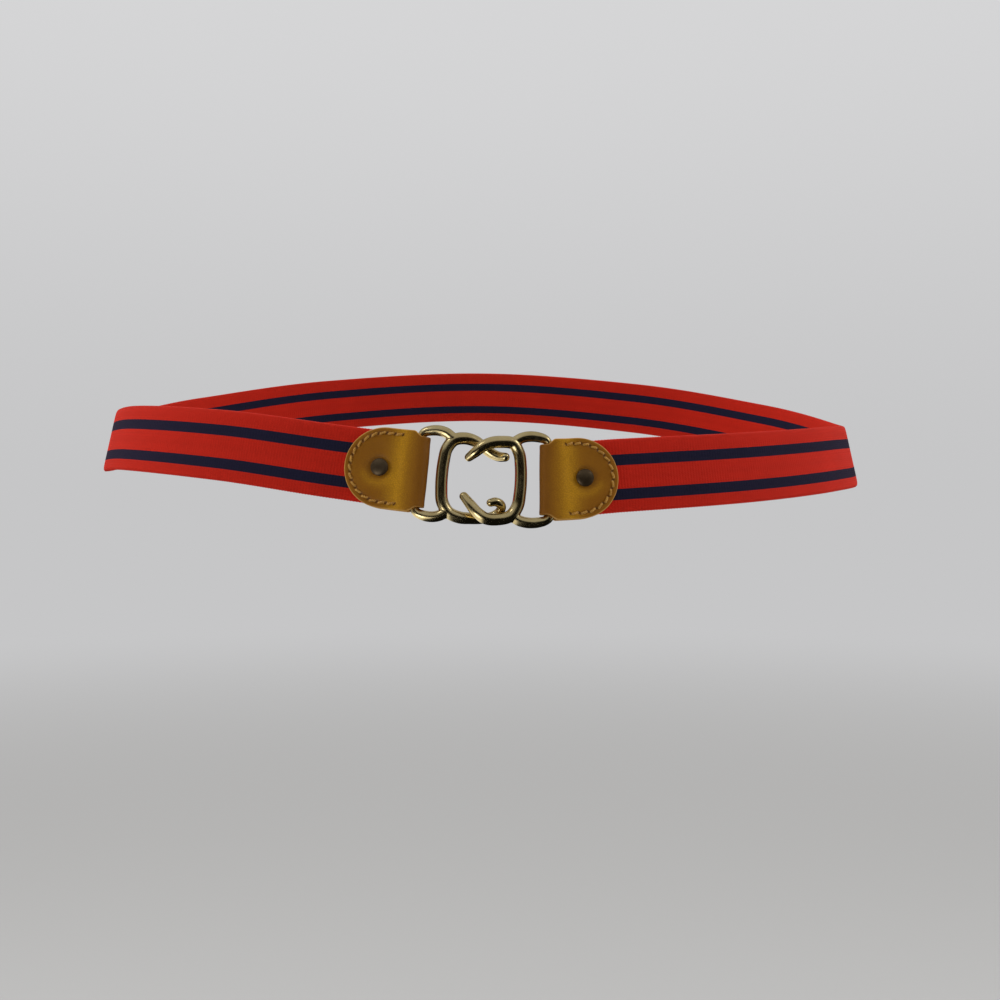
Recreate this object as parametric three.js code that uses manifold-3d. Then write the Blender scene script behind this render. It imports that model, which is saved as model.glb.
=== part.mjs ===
// Skinny cinch belt, closed as it is worn: a striped elastic strap whose two ends are held
// in folded leather tabs, with a hook clasp of two interlocking cast halves at the front.
//
// Units are millimetres and +Z is up. The clasp faces -Y, +X is to the right of someone who
// looks at the clasp, and the origin is the middle of the waist opening, level with the clasp.
//
// Every piece is drawn along the belt's middle line: "along" is the distance from the middle
// of the clasp (plus to the right), "across" runs to the belt's top edge, and "out" points
// away from the wearer.
import * as THREE from 'three';
import { mergeVertices } from 'three/addons/utils/BufferGeometryUtils.js';
import Module from 'manifold-3d';

const wasm = await Module();
wasm.setup();

// The loop seen from above is an ellipse. The strap leans in at its top edge, as on a hip.
const loop = { halfWidth: 157, halfDepth: 114, leanFront: 4.5, leanSide: 12.5 };

// Height of the middle line round the loop, angles in degrees from the clasp.
const heights = [
  { angle: -150, height: 41.5 },
  { angle: -120, height: 29 },
  { angle: -90, height: 17.5 },
  { angle: -60, height: 16 },
  { angle: -36, height: 11.5 },
  { angle: -18, height: 5 },
  { angle: -8, height: 1.5 },
  { angle: 8, height: -1.2 },
  { angle: 18, height: 0.5 },
  { angle: 36, height: 3.5 },
  { angle: 60, height: 8 },
  { angle: 90, height: 13 },
  { angle: 120, height: 26 },
  { angle: 150, height: 40 },
  { angle: 180, height: 47 },
];

// Elastic webbing, one inch wide.
const webbing = { width: 25.4, thickness: 1.6, start: 27.5, steps: 150, edgeAngles: [-90, -30, 30, 90] };

// The two ends of the belt: which way they lie, how far out the clasp's bar sits in the
// leather fold, and where the rivet is.
const ends = {
  left: { side: -1, barAlong: 21.6, rivetAlong: 34.4 },
  right: { side: 1, barAlong: 23, rivetAlong: 34.9 },
};

// Leather tab: one strip folded round the clasp's bar, with a round outer end.
const tab = {
  thickness: 1.4,
  end: 46.6,
  endRadius: 13.8,
  neckHalfWidth: 12,
  shoulderStart: -0.8,
  shoulderEnd: 2.2,
  tipHalfWidth: 0.9,
  leafGap: 0.2,
  foldClearance: 0.35,
  foldStep: 18,
  rampLength: 7,
  rampShares: [1, 0.75, 0.5, 0.25],
  endTurns: [90, 78, 64, 48, 32, 16, 0],
};

// Rivet through tab and webbing, a dome in front and a flat cap behind.
const rivet = {
  capRadius: 3,
  backFaceRadius: 2.4,
  domeHeight: 1.4,
  domeStep: 18,
  backHeight: 0.8,
  rimHeight: 0.35,
  postRadius: 1.3,
  sides: 20,
  holeRadius: 1.65,
  holeLength: 12,
  holeSides: 16,
  seatGap: 0.12,
};

// Clasp castings: a ring that holds the leather, joined to a loop with two hook arms.
const clasp = {
  barRadius: 1.5,
  ringSides: 8,
  ringSteps: 44,
  ringStart: 10.9,
  loopSides: 10,
  loopSteps: 76,
  lowerReach: 1.06,
  tipRings: 2,
  tipTurn: 75,
};

// Upper half of a ring's middle line, from the middle of its bar to the loop: reach is 1 at
// the bar and 0 at the loop. The limbs beside the leather are thicker than the bar in it.
const ringLine = [
  { reach: 1, across: 0, radius: 1.5 },
  { reach: 1, across: 8, radius: 1.5 },
  { reach: 1, across: 12.4, radius: 1.5 },
  { reach: 0.9, across: 13.8, radius: 1.6 },
  { reach: 0.66, across: 14.6, radius: 1.8 },
  { reach: 0.42, across: 14.7, radius: 1.85 },
  { reach: 0.2, across: 14.1, radius: 1.85 },
  { reach: 0, across: 12.7, radius: 1.85 },
];

// Upper half of a clasp loop's back, from its middle to its corner. The lower half is longer
// by the factor lowerReach.
const backLine = [
  { along: 13.4, across: 0, out: 0, radius: 2.1 },
  { along: 13.2, across: 4.6, out: 0, radius: 2.1 },
  { along: 12.5, across: 8.8, out: 0, radius: 2.1 },
  { along: 10.2, across: 12, out: 0.3, radius: 2.1 },
];

// Hook arms, from the loop's corner to the tip, as they lie in the right half. The left half
// is turned half round about the upright axis, so the right half's arms pass in front.
const armLines = {
  left: {
    upper: [
      { along: 6.4, across: 12.9, out: 1, radius: 2.1 },
      { along: 2.9, across: 12.2, out: 1.9, radius: 2.05 },
      { along: -0.3, across: 10.3, out: 2.2, radius: 1.95 },
      { along: -3.2, across: 8.4, out: 1.9, radius: 1.85 },
      { along: -5.8, across: 7.4, out: 0.8, radius: 1.7 },
      { along: -7.7, across: 7.2, out: -0.7, radius: 1.55 },
    ],
    lower: [
      { along: 6.4, across: -14.1, out: 1, radius: 2.1 },
      { along: 2.8, across: -14.1, out: 1.9, radius: 2 },
      { along: -0.4, across: -13.9, out: 2.5, radius: 1.9 },
      { along: -3.2, across: -13.4, out: 2.9, radius: 1.7 },
      { along: -5.4, across: -12.4, out: 2.9, radius: 1.6 },
      { along: -6.9, across: -11, out: 2.2, radius: 1.55 },
      { along: -7.3, across: -9.6, out: 0.8, radius: 1.55 },
      { along: -6.5, across: -8.6, out: -0.6, radius: 1.55 },
      { along: -5, across: -8.2, out: -1.5, radius: 1.5 },
      { along: -3.6, across: -8.6, out: -1.9, radius: 1.4 },
    ],
  },
  right: {
    upper: [
      { along: 5.6, across: 12.2, out: 1.3, radius: 2.1 },
      { along: 2.5, across: 11.6, out: 2, radius: 2.05 },
      { along: -0.2, across: 10.2, out: 2.15, radius: 1.95 },
      { along: -2.6, across: 8.1, out: 1.8, radius: 1.8 },
      { along: -4.7, across: 6.4, out: 0.6, radius: 1.5 },
    ],
    lower: [
      { along: 5.6, across: -14.1, out: 1.3, radius: 2.1 },
      { along: 2.3, across: -14, out: 2, radius: 2.05 },
      { along: -0.4, across: -12.4, out: 2.2, radius: 1.95 },
      { along: -3, across: -9.7, out: 1.8, radius: 1.8 },
      { along: -5.4, across: -7, out: 0.8, radius: 1.5 },
    ],
  },
};

const colours = {
  webbing: { color: 0xb3201c, roughness: 0.85, metalness: 0 },
  leather: { color: 0xa8761f, roughness: 0.5, metalness: 0 },
  gold: { color: 0xb9a67c, roughness: 0.28, metalness: 1 },
  rivet: { color: 0x5a4a34, roughness: 0.3, metalness: 1 },
};

const radians = THREE.MathUtils.degToRad;
const fullTurn = 2 * Math.PI;
const mergeDistance = 1e-4;

// Smooth height at an angle: a cubic through the table, which closes on itself.
function heightAt(angle) {
  const count = heights.length;
  const row = (i) => {
    const turns = Math.floor(i / count);
    const { angle: degrees, height } = heights[i - turns * count];
    return { angle: radians(degrees) + turns * fullTurn, height };
  };
  const slope = (i) => (row(i + 1).height - row(i - 1).height) / (row(i + 1).angle - row(i - 1).angle);
  let k = 0;
  while (row(k).angle > angle) k -= 1;
  while (row(k + 1).angle <= angle) k += 1;
  const span = row(k + 1).angle - row(k).angle;
  const t = (angle - row(k).angle) / span;
  const blend = t * t * (3 - 2 * t);
  return (
    row(k).height * (1 - blend) +
    row(k + 1).height * blend +
    span * t * (1 - t) * (slope(k) * (1 - t) - slope(k + 1) * t)
  );
}

// The belt's middle line: once round from the clasp, by its right side.
class BeltLine extends THREE.Curve {
  getPoint(t, target = new THREE.Vector3()) {
    const angle = fullTurn * t;
    return target.set(
      loop.halfWidth * Math.sin(angle),
      -loop.halfDepth * Math.cos(angle),
      heightAt(angle),
    );
  }
}

const beltLine = new BeltLine();
beltLine.arcLengthDivisions = 1600;
const beltLength = beltLine.getLength();

// Place and directions of the belt at a distance along it.
function frameAt(along) {
  const step = 1e-3;
  const t = beltLine.getUtoTmapping(THREE.MathUtils.euclideanModulo(along / beltLength, 1));
  const angle = fullTurn * t;
  const point = beltLine.getPoint(t);
  const tangent = beltLine.getPoint(t + step).sub(beltLine.getPoint(t - step)).normalize();
  const level = new THREE.Vector3(tangent.y, -tangent.x, 0).normalize();
  const lean = radians(loop.leanFront + (loop.leanSide - loop.leanFront) * Math.sin(angle) ** 2);
  const across = new THREE.Vector3(0, 0, Math.cos(lean)).addScaledVector(level, -Math.sin(lean));
  across.addScaledVector(tangent, -across.dot(tangent)).normalize();
  const out = new THREE.Vector3().crossVectors(tangent, across);
  return { point, tangent, across, out };
}

// A point of the belt's own space, in the part's frame.
function place(along, across, out) {
  const frame = frameAt(along);
  return frame.point.addScaledVector(frame.across, across).addScaledVector(frame.out, out);
}

// A closed skin over a row of rings with flat ends. Rings turn right-handed about the row.
function loft(rings) {
  const count = rings[0].length;
  const last = (rings.length - 1) * count;
  const index = [];
  for (let start = 0; start < last; start += count) {
    for (let i = 0; i < count; i++) {
      const a = start + i;
      const b = start + ((i + 1) % count);
      index.push(a, b, b + count, a, b + count, a + count);
    }
  }
  for (let i = 1; i < count - 1; i++) {
    index.push(0, i + 1, i, last, last + i, last + i + 1);
  }
  const geometry = new THREE.BufferGeometry().setFromPoints(rings.flat());
  geometry.setIndex(index);
  return geometry;
}

// A loft that was drawn on one side, turned to face out after mirroring.
function loftOnSide(rings, side) {
  return loft(side > 0 ? rings : [...rings].reverse());
}

// Geometry to solid and back, for cutting and joining.
function toSolid(geometry) {
  const bare = geometry.clone();
  bare.deleteAttribute('normal');
  bare.deleteAttribute('uv');
  const merged = mergeVertices(bare, mergeDistance);
  return new wasm.Manifold(
    new wasm.Mesh({
      numProp: 3,
      vertProperties: new Float32Array(merged.attributes.position.array),
      triVerts: new Uint32Array(merged.index.array),
    }),
  );
}

function toGeometry(solid) {
  const { vertProperties, triVerts } = solid.getMesh();
  const geometry = new THREE.BufferGeometry();
  geometry.setAttribute('position', new THREE.BufferAttribute(vertProperties, 3));
  geometry.setIndex(new THREE.BufferAttribute(triVerts, 1));
  return geometry;
}

function mesh(name, geometry, look) {
  geometry.computeVertexNormals();
  const piece = new THREE.Mesh(geometry, new THREE.MeshStandardMaterial(look));
  piece.name = name;
  return piece;
}

// Turn that stands a piece's own Y axis along the belt's outward direction.
function outwardTurn(frame) {
  const basis = new THREE.Matrix4().makeBasis(frame.tangent, frame.out, frame.across.clone().negate());
  return new THREE.Quaternion().setFromRotationMatrix(basis);
}

// Cutter for the hole that a rivet's post passes through.
function rivetHole(along) {
  const frame = frameAt(along);
  const { holeRadius, holeLength, holeSides } = rivet;
  const cutter = new THREE.CylinderGeometry(holeRadius, holeRadius, holeLength, holeSides);
  cutter.applyQuaternion(outwardTurn(frame));
  cutter.translate(frame.point.x, frame.point.y, frame.point.z);
  return toSolid(cutter);
}

// Webbing: a flat band with rounded edges from one tab round the back to the other.
function webbingGeometry() {
  const radius = webbing.thickness / 2;
  const reach = webbing.width / 2 - radius;
  const outline = [1, -1].flatMap((edge) =>
    webbing.edgeAngles.map(radians).map((angle) => ({
      across: edge * (reach + radius * Math.cos(angle)),
      out: edge * radius * Math.sin(angle),
    })),
  );
  const rings = [];
  for (let i = 0; i <= webbing.steps; i++) {
    const along = THREE.MathUtils.lerp(webbing.start, beltLength - webbing.start, i / webbing.steps);
    rings.push(outline.map((p) => place(along, p.across, p.out)));
  }
  const [left, right] = [ends.left, ends.right].map((end) => rivetHole(end.side * end.rivetAlong));
  return toGeometry(toSolid(loft(rings)).subtract(left.add(right)));
}

// Half width of a leather tab: the neck round the bar, short shoulders and the round end.
function tabHalfWidth(along, barAlong) {
  const middle = tab.end - tab.endRadius;
  if (along > middle) {
    return Math.max(tab.tipHalfWidth, Math.sqrt(Math.max(0, tab.endRadius ** 2 - (along - middle) ** 2)));
  }
  const past = along - barAlong;
  const shoulder = THREE.MathUtils.smoothstep(past, tab.shoulderStart, tab.shoulderEnd);
  return THREE.MathUtils.lerp(tab.neckHalfWidth, tab.endRadius, shoulder);
}

// Middle line of the leather strip: back leaf, fold round the bar, front leaf.
function tabLine(barAlong) {
  const leafOut = webbing.thickness / 2 + tab.leafGap + tab.thickness / 2;
  const foldRadius = clasp.barRadius + tab.foldClearance + tab.thickness / 2;
  const middle = tab.end - tab.endRadius;
  const roundEnd = tab.endTurns.map((turn) => middle + tab.endRadius * Math.sin(radians(turn)));
  const ramp = tab.rampShares.map((share) => barAlong + share * tab.rampLength);
  const leaf = [...roundEnd, ...ramp].map((along) => {
    const rise = THREE.MathUtils.smoothstep(along, barAlong, barAlong + tab.rampLength);
    return { along, out: THREE.MathUtils.lerp(foldRadius, leafOut, rise) };
  });
  const fold = [];
  for (let turn = -90; turn <= 90; turn += tab.foldStep) {
    fold.push({
      along: barAlong - foldRadius * Math.cos(radians(turn)),
      out: foldRadius * Math.sin(radians(turn)),
    });
  }
  const back = leaf.map((p) => ({ along: p.along, out: -p.out }));
  return [...back, ...fold, ...leaf.reverse()];
}

// Leather tab of one end of the belt, with its rivet hole.
function tabGeometry({ side, barAlong, rivetAlong }) {
  const line = tabLine(barAlong);
  const half = tab.thickness / 2;
  const rings = line.map((p, i) => {
    const before = line[Math.max(i - 1, 0)];
    const after = line[Math.min(i + 1, line.length - 1)];
    const run = new THREE.Vector2(after.along - before.along, after.out - before.out).normalize();
    const width = tabHalfWidth(p.along, barAlong);
    const corners = [
      [1, 1],
      [-1, 1],
      [-1, -1],
      [1, -1],
    ];
    return corners.map(([edge, face]) =>
      place(side * (p.along - face * half * run.y), edge * width, p.out + face * half * run.x),
    );
  });
  return toGeometry(toSolid(loftOnSide(rings, side)).subtract(rivetHole(side * rivetAlong)));
}

// Rivet: front dome, post and back cap in one turned piece.
function rivetGeometry() {
  const seat = webbing.thickness / 2 + tab.leafGap + tab.thickness + rivet.seatGap;
  const dome = [];
  for (let turn = 0; turn <= 90; turn += rivet.domeStep) {
    dome.push([
      rivet.capRadius * Math.cos(radians(turn)),
      seat + rivet.rimHeight + (rivet.domeHeight - rivet.rimHeight) * Math.sin(radians(turn)),
    ]);
  }
  dome[dome.length - 1][0] = 0;
  const profile = [
    [0, -seat - rivet.backHeight],
    [rivet.backFaceRadius, -seat - rivet.backHeight],
    [rivet.capRadius, -seat - rivet.rimHeight],
    [rivet.capRadius, -seat],
    [rivet.postRadius, -seat],
    [rivet.postRadius, seat],
    [rivet.capRadius, seat],
    ...dome,
  ];
  return new THREE.LatheGeometry(profile.map(([x, y]) => new THREE.Vector2(x, y)), rivet.sides);
}

function rivetMesh(name, along) {
  const frame = frameAt(along);
  const piece = mesh(name, rivetGeometry(), colours.rivet);
  piece.position.copy(frame.point);
  piece.quaternion.copy(outwardTurn(frame));
  return piece;
}

// Round wire through rows of { along, across, out, radius }, with rounded ends.
function wire(rows, sides, steps, side) {
  const points = rows.map((r) => new THREE.Vector3(r.along, r.across, r.out));
  const line = new THREE.CatmullRomCurve3(points, false, 'centripetal');
  const { tangents, normals, binormals } = line.computeFrenetFrames(steps, false);
  const radiusAt = (t) => {
    const at = t * (rows.length - 1);
    const k = Math.min(Math.floor(at), rows.length - 2);
    return THREE.MathUtils.lerp(rows[k].radius, rows[k + 1].radius, at - k);
  };
  const ring = (i, scale, shift) => {
    const centre = line.getPointAt(i / steps).addScaledVector(tangents[i], shift);
    const radius = scale * radiusAt(line.getUtoTmapping(i / steps));
    return Array.from({ length: sides }, (_, k) => {
      const turn = (fullTurn * k) / sides;
      const p = centre
        .clone()
        .addScaledVector(normals[i], radius * Math.cos(turn))
        .addScaledVector(binormals[i], radius * Math.sin(turn));
      return place(side * p.x, p.y, side * p.z);
    });
  };
  const cap = (i, way) =>
    Array.from({ length: clasp.tipRings }, (_, k) => {
      const turn = radians((clasp.tipTurn * (k + 1)) / clasp.tipRings);
      const end = rows[i === 0 ? 0 : rows.length - 1].radius;
      return ring(i, Math.cos(turn), way * end * Math.sin(turn));
    });
  const body = Array.from({ length: steps + 1 }, (_, i) => ring(i, 1, 0));
  return loft([...cap(0, -1).reverse(), ...body, ...cap(steps, 1)]);
}

// The same rows on the lower half, a little longer if asked.
function lowered(rows, factor = 1) {
  return rows.map((r) => ({ ...r, across: -factor * r.across }));
}

// One clasp half: the leather's ring and the loop with its arms, cast as one.
function claspGeometry({ side, barAlong }, arms) {
  const upperRing = ringLine.map(({ reach, across, radius }) => ({
    along: THREE.MathUtils.lerp(clasp.ringStart, barAlong, reach),
    across,
    out: 0,
    radius,
  }));
  const ringRows = [...lowered(upperRing.slice(1)).reverse(), ...upperRing];
  const lowerBack = lowered(backLine.slice(1), clasp.lowerReach);
  const hookRows = [...arms.lower.slice().reverse(), ...lowerBack.reverse(), ...backLine, ...arms.upper];
  const ring = toSolid(wire(ringRows, clasp.ringSides, clasp.ringSteps, side));
  const hooks = toSolid(wire(hookRows, clasp.loopSides, clasp.loopSteps, side));
  return toGeometry(ring.add(hooks));
}

const belt = new THREE.Group();
belt.add(mesh('webbing', webbingGeometry(), colours.webbing));
for (const [name, end] of Object.entries(ends)) {
  belt.add(
    mesh(`leather_tab_${name}`, tabGeometry(end), colours.leather),
    rivetMesh(`rivet_${name}`, end.side * end.rivetAlong),
    mesh(`clasp_half_${name}`, claspGeometry(end, armLines[name]), colours.gold),
  );
}

export default belt;
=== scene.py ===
# %% [markdown]
# # Dressing a skinny cinch belt
#
# The belt is a striped elastic strap, one inch wide. Its two ends are held in folded tan leather
# tabs, each closed by a rivet and a row of stitches, and a cast clasp of two interlocking
# halves joins them at the front.
#
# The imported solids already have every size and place. This lesson gives them their finish: the
# woven ribs and stripes of the strap, the soft edges, dents and stitches of the leather, and
# the smooth castings with their pale gold plate.
#
# All the pieces follow one line, the middle of the strap. So each is drawn flat first, as if
# the belt lay straight on a bench, and one small node tree then lays it along that line.

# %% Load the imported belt
import math

import bpy
import numpy as np
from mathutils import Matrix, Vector


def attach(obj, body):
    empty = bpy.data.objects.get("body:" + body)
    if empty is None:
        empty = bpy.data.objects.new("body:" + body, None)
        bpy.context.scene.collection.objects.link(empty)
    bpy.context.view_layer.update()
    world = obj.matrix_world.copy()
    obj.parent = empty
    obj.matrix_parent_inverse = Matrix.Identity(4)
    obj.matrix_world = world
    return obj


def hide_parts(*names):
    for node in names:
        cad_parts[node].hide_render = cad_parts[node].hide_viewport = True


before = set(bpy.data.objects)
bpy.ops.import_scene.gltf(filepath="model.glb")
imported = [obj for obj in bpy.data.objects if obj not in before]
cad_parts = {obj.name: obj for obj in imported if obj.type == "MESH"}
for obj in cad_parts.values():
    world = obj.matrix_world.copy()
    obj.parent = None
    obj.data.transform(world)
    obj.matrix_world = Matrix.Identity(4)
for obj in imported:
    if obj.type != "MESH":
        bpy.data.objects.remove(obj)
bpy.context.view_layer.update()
mm = 0.001
print("nodes:", ", ".join(sorted(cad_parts)))

# %% [markdown]
# ## The camera
#
# The photograph was taken from the front, level with the clasp, about half a metre away. A
# camera so near sees the clasp larger than the sides of the strap. The focal length is given
# in pixels of the square picture, because that is how it was worked out, and turned into
# millimetres for a 36 mm sensor. The camera is a little right of the middle and turned by less
# than one degree.

# %% Camera at the photograph's place
picture_side = 1000
focal_pixels = 1156.9
camera_place = Vector((1.27 * mm, -505.6 * mm, -8.0 * mm))
camera_turn = 0.0128

camera = bpy.data.objects.new("camera", bpy.data.cameras.new("camera"))
camera.data.sensor_width = 36
camera.data.lens = focal_pixels * camera.data.sensor_width / picture_side
camera.data.clip_start = 0.01
camera.location = camera_place
camera.rotation_euler = (math.pi / 2, 0, -camera_turn)
bpy.context.scene.collection.objects.link(camera)
bpy.context.scene.camera = camera
print(f"lens {camera.data.lens:.1f} mm, {camera_place.length * 1000:.0f} mm from the belt's centre")

# %% [markdown]
# ## The line that the belt follows
#
# Seen from above the closed strap is an ellipse. It rises from the clasp towards the back, as a
# low-slung belt does, and a little sooner on the left. A short table of heights in millimetres,
# at angles in degrees from the clasp, gives the line through a smooth cubic between its rows.
# The strap leans in a little at its top edge, more at the sides than in front.
#
# A place on the belt is then three numbers: along, the way round from the middle of the
# clasp, across, towards the top edge, and out, away from the middle of the loop. The same rule
# made the solids, so what is laid along it lands on them.

# %% Belt line from a table of heights
loop_half_width = 157 * mm
loop_half_depth = 114 * mm
lean_front = math.radians(4.5)
lean_side = math.radians(12.5)
heights_in_mm = {
    -150: 41.5, -120: 29, -90: 17.5, -60: 16, -36: 11.5, -18: 5, -8: 1.5,
    8: -1.2, 18: 0.5, 36: 3.5, 60: 8, 90: 13, 120: 26, 150: 40, 180: 47,
}


def rows_from(*columns):
    """Numbers side by side, a row for each place. A single number fills its column."""
    return np.stack(np.broadcast_arrays(*columns), axis=-1)


def height_at(angle):
    """Height of the line at angles in radians, on a cubic that closes on itself."""
    turns = np.array([-360, 0, 360])
    rows = np.radians(np.add.outer(turns, list(heights_in_mm)).ravel())
    level = np.tile(list(heights_in_mm.values()), len(turns)) * mm
    slope = np.zeros_like(level)
    slope[1:-1] = (level[2:] - level[:-2]) / (rows[2:] - rows[:-2])
    angle = np.mod(np.asarray(angle) + math.pi, math.tau) - math.pi
    k = np.searchsorted(rows, angle, side="right") - 1
    span = rows[k + 1] - rows[k]
    t = (angle - rows[k]) / span
    blend = t * t * (3 - 2 * t)
    bend = span * t * (1 - t) * (slope[k] * (1 - t) - slope[k + 1] * t)
    return level[k] * (1 - blend) + level[k + 1] * blend + bend


def line_point(angle):
    """Points of the belt's middle line at angles from the clasp."""
    x = loop_half_width * np.sin(angle)
    y = -loop_half_depth * np.cos(angle)
    return rows_from(x, y, height_at(angle))


line_count = 8001
line_angles = np.linspace(0, math.tau, line_count)
line_steps = np.linalg.norm(np.diff(line_point(line_angles), axis=0), axis=1)
line_alongs = np.concatenate([[0], np.cumsum(line_steps)])
belt_length = line_alongs[-1]
print(f"once round the belt's middle line: {belt_length * 1000:.1f} mm")

# %% [markdown]
# ## Directions on the line
#
# A piece that is laid along the line turns with it. At each place the strap's own three
# directions are needed: the tangent, the way across it, which leans with the strap, and the
# way out, square to both.

# %% The strap's directions
def unit(vectors):
    """The same directions with length one."""
    return vectors / np.linalg.norm(vectors, axis=-1, keepdims=True)


def belt_frame(along):
    """Place, across and out directions at distances along the belt."""
    angle = np.interp(np.mod(along, belt_length), line_alongs, line_angles)
    step = math.tau * 1e-3
    tangent = unit(line_point(angle + step) - line_point(angle - step))
    level = unit(rows_from(tangent[..., 1], -tangent[..., 0], 0.0))
    lean = lean_front + (lean_side - lean_front) * np.sin(angle) ** 2
    across = -np.sin(lean)[..., None] * level
    across[..., 2] += np.cos(lean)
    across -= np.sum(across * tangent, axis=-1, keepdims=True) * tangent
    across = unit(across)
    return line_point(angle), across, np.cross(tangent, across)


side_out = belt_frame(np.array([0.25 * belt_length]))[2][0]
print("out at the right side:", [round(float(part), 2) for part in side_out])

# %% [markdown]
# ## Helpers for meshes
#
# Every piece below is either a grid of points worked out with numpy or the result of a node
# tree. These helpers make a mesh object, keep numbers on its points, turn what its modifiers
# make into a plain mesh, and join rows of points with faces.

# %% Mesh helpers
def new_piece(name, points, faces=(), edges=(), material=None):
    """A mesh object at the origin with smooth faces."""
    mesh = bpy.data.meshes.new(name)
    mesh.from_pydata(np.asarray(points).tolist(), edges, [tuple(map(int, f)) for f in faces])
    mesh.shade_smooth()
    piece = bpy.data.objects.new(name, mesh)
    bpy.context.scene.collection.objects.link(piece)
    if material:
        mesh.materials.append(material)
    return piece


def point_value(piece, name, values):
    """Keeps one number or one vector for each point of a mesh."""
    values = np.asarray(values, np.float32)
    kind, key = ("FLOAT_VECTOR", "vector") if values.ndim == 2 else ("FLOAT", "value")
    layer = piece.data.attributes.new(name, kind, "POINT")
    layer.data.foreach_set(key, values.ravel())


def settle(piece):
    """What a piece's modifiers make becomes its own plain mesh."""
    bpy.context.view_layer.update()
    graph = bpy.context.evaluated_depsgraph_get()
    made = bpy.data.meshes.new_from_object(
        piece.evaluated_get(graph), preserve_all_data_layers=True, depsgraph=graph
    )
    piece.modifiers.clear()
    piece.data = made
    made.name = piece.name
    return piece


def triangle_count(piece):
    """How many triangles a piece's mesh has."""
    return sum(len(face.vertices) - 2 for face in piece.data.polygons)


def ring_faces(rows, columns):
    """Faces between rows of points, where each row closes on itself."""
    corner = np.arange(rows * columns).reshape(rows, columns)
    after = np.roll(corner, -1, axis=1)
    return np.stack([corner[:-1], after[:-1], after[1:], corner[1:]], axis=-1).reshape(-1, 4)


def chain_links(count, broken_after=None):
    """Edges from each point to the next, with one left out where the chain is broken."""
    return [(i, i + 1) for i in range(count - 1) if i != broken_after]


print("one ring of four faces:", ring_faces(2, 4).tolist())

# %% [markdown]
# ## Helpers for node trees
#
# A formula is hard to read as a row of nodes. So a node's output is wrapped as a wire, and plus,
# minus, times and divided by between wires and numbers each add one Math node to the tree.
#
# Every node is added in the same way. Its first inputs are filled in order and the others by
# name, with an underscore for a space. Names in small letters are its settings.

# %% Wires, and how a node is added
class Wire:
    """A node's output, which takes part in sums like a number."""

    def __init__(self, socket):
        self.socket = socket

    def __add__(self, other):
        return calc("ADD", self, other)

    def __sub__(self, other):
        return calc("SUBTRACT", self, other)

    def __rsub__(self, other):
        return calc("SUBTRACT", other, self)

    def __mul__(self, other):
        return calc("MULTIPLY", self, other)

    def __truediv__(self, other):
        return calc("DIVIDE", self, other)


class Outputs:
    """A node's outputs as wires, by name or number."""

    def __init__(self, node):
        self.node = node

    def __getitem__(self, key):
        return Wire(self.node.outputs[key])


def spaced(named):
    """The same values under names with spaces, as sockets have them."""
    return {key.replace("_", " "): value for key, value in named.items()}


def fill(node, inputs):
    """Links wires to a node's inputs, and sets the values that are the same all over."""
    for key, value in inputs.items():
        if isinstance(value, Wire):
            node.id_data.links.new(value.socket, node.inputs[key])
        else:
            node.inputs[key].default_value = value


def add_node(tree, kind, *values, **named):
    """The outputs of a new node, with its settings made and its inputs filled."""
    made = tree.nodes.new(kind)
    for key in [key for key in named if key.islower()]:
        setattr(made, key, named.pop(key))
    fill(made, {**dict(enumerate(values)), **spaced(named)})
    return Outputs(made)


print("a name with spaces:", *spaced({"Base_Color": None}))

# %% [markdown]
# ## Nodes that come back often
#
# Arithmetic, a change of range and the start of a node group are needed all through the lesson.
# Each is one short function. It finds the tree from the wires that it is given, so a formula
# doesn't have to name it.

# %% Arithmetic, ranges and new trees
def tree_of(*values):
    """The tree that the first wire among some values belongs to."""
    return next(value.socket.id_data for value in values if isinstance(value, Wire))


def calc(operation, *values, clamp=False):
    """One step of arithmetic, as a node."""
    settings = {"operation": operation, "use_clamp": clamp}
    return add_node(tree_of(*values), "ShaderNodeMath", *values, **settings)[0]


def vector_calc(operation, *values, **named):
    """One step of vector arithmetic, as a node."""
    named["operation"] = operation
    return add_node(tree_of(*values), "ShaderNodeVectorMath", *values, **named)[0]


def split(vector):
    """A vector's three numbers, as X, Y and Z."""
    return add_node(tree_of(vector), "ShaderNodeSeparateXYZ", vector)


def between(share, low, high):
    """A share from 0 to 1, as a number from low to high."""
    return share * (high - low) + low


def remap(value, *limits):
    """A range of values made 0 to 1, or another range, smoothly and clamped."""
    smooth = {"interpolation_type": "SMOOTHSTEP"}
    return add_node(tree_of(value), "ShaderNodeMapRange", value, *limits, **smooth)[0]


def new_tree(name, kind, inputs, outputs):
    """A node group, its inputs as wires, and the node that its outputs go to."""
    tree = bpy.data.node_groups.new(name, kind)
    for in_out, sockets in (("INPUT", inputs), ("OUTPUT", outputs)):
        for socket_name, socket_kind in sockets.items():
            socket_type = f"NodeSocket{socket_kind}"
            tree.interface.new_socket(socket_name, in_out=in_out, socket_type=socket_type)
    return tree, Outputs(tree.nodes.new("NodeGroupInput")), tree.nodes.new("NodeGroupOutput")


print("halfway from 2 to 6:", between(0.5, 2, 6))

# %% [markdown]
# ## Laying a flat piece along the belt
#
# On the bench a piece has X along the belt, Z across it and Y inwards. A curve modifier could
# bend it, but it would not take the strap's lean from the table. So the line is kept as a chain
# of points that carry their across and out directions, and a node group samples the three at
# each point's own distance along.
#
# The chain starts a little before the clasp's middle and ends a little after it has come round
# again, so that both ends of the belt lie inside it.

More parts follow.
